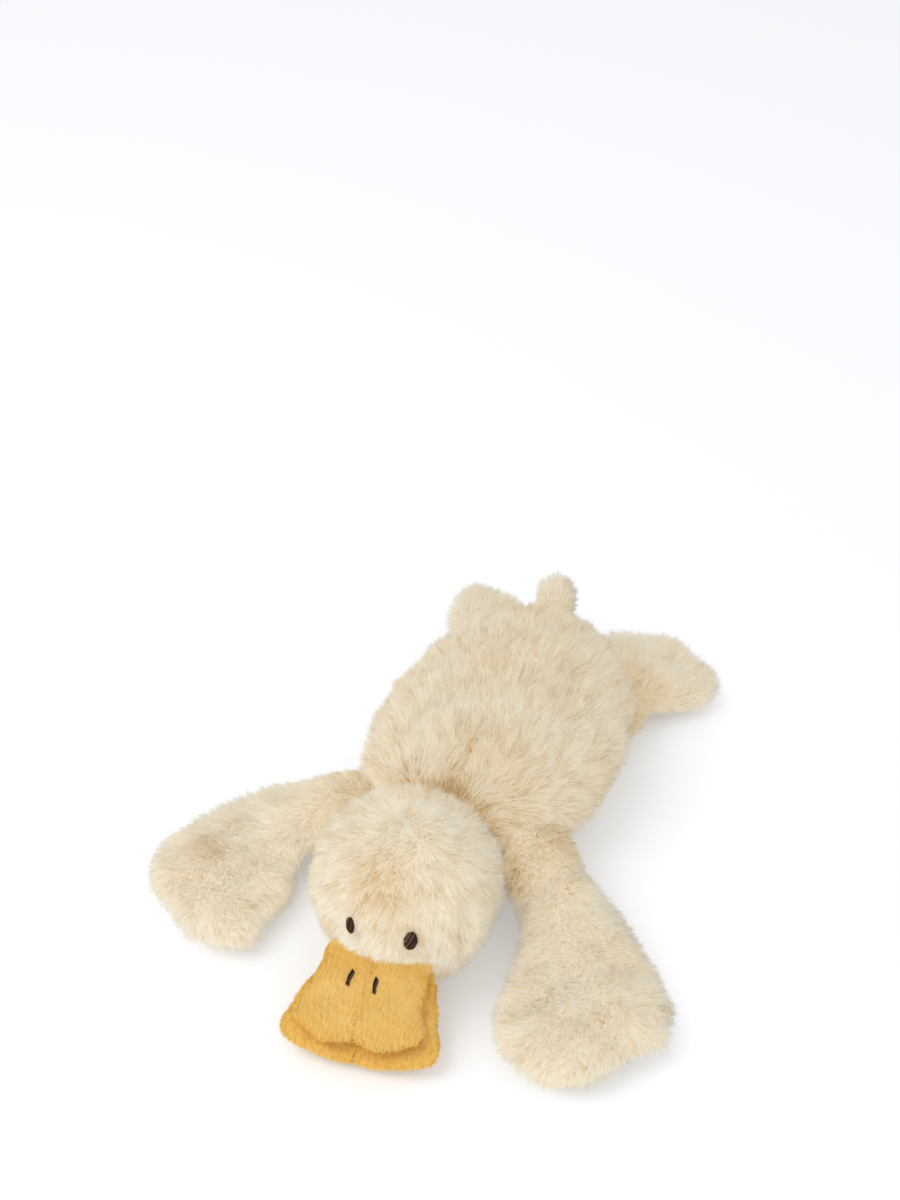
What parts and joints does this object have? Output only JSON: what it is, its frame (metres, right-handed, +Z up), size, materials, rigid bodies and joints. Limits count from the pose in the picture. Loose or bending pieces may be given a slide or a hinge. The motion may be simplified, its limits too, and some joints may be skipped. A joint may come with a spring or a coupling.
{
  "type": "plush duck",
  "caption": "Floppy stuffed duck lying on its belly, with a round head, a flat padded bill, paddle wings, webbed feet and a tab tail.",
  "frame": {"origin": "on the floor under the middle of the body, in the flat of its belly", "axes": "+Z up, -Y towards the bill, +X towards the duck's own left side"},
  "size_m": [0.3116, 0.4032, 0.1044],
  "materials": {
    "cream_pile": "long soft pile",
    "yellow_velour": "short pile",
    "mustard_velour": "short pile",
    "brown_thread": "satin stitch",
    "white_filling": "loose fibre",
    "pouch_cloth": "plain weave"
  },
  "bodies": {
    "body": {"body_skin": "cream_pile", "body_stuffing": "white_filling", "pellet_pouch": "pouch_cloth"},
    "head": {"head_skin": "cream_pile", "head_stuffing": "white_filling", "upper_bill_skin": "yellow_velour", "upper_bill_stuffing": "white_filling", "lower_bill_skin": "mustard_velour", "lower_bill_stuffing": "white_filling", "left_eye": "brown_thread", "right_eye": "brown_thread", "left_nostril": "brown_thread", "right_nostril": "brown_thread"},
    "left_wing": {"left_wing_skin": "cream_pile", "left_wing_stuffing": "white_filling"},
    "right_wing": {"right_wing_skin": "cream_pile", "right_wing_stuffing": "white_filling"},
    "left_leg": {"left_leg_skin": "cream_pile", "left_leg_stuffing": "white_filling"},
    "right_leg": {"right_leg_skin": "cream_pile", "right_leg_stuffing": "white_filling"},
    "tail": {"tail_skin": "cream_pile", "tail_stuffing": "white_filling"}
  },
  "joints": [
    {"name": "head_nod", "type": "hinge", "parent": "body", "child": "head", "pos_m": [0, -0.085, 0.05], "axis": [-1, 0, 0], "range_deg": [0, 30]},
    {"name": "left_wing_lift", "type": "hinge", "parent": "body", "child": "left_wing", "pos_m": [0.053, -0.077, 0.031], "axis": [0, -1, 0], "range_deg": [0, 50]},
    {"name": "right_wing_lift", "type": "hinge", "parent": "body", "child": "right_wing", "pos_m": [-0.053, -0.077, 0.031], "axis": [0, 1, 0], "range_deg": [0, 50]},
    {"name": "left_leg_lift", "type": "hinge", "parent": "body", "child": "left_leg", "pos_m": [0.0535, 0.078, 0.021], "axis": [1, 0, 0], "range_deg": [0, 30]},
    {"name": "right_leg_lift", "type": "hinge", "parent": "body", "child": "right_leg", "pos_m": [-0.0535, 0.078, 0.021], "axis": [1, 0, 0], "range_deg": [0, 30]},
    {"name": "tail_bend", "type": "hinge", "parent": "body", "child": "tail", "pos_m": [0, 0.092, 0.062], "axis": [1, 0, 0], "range_deg": [-20, 20]}
  ]
}
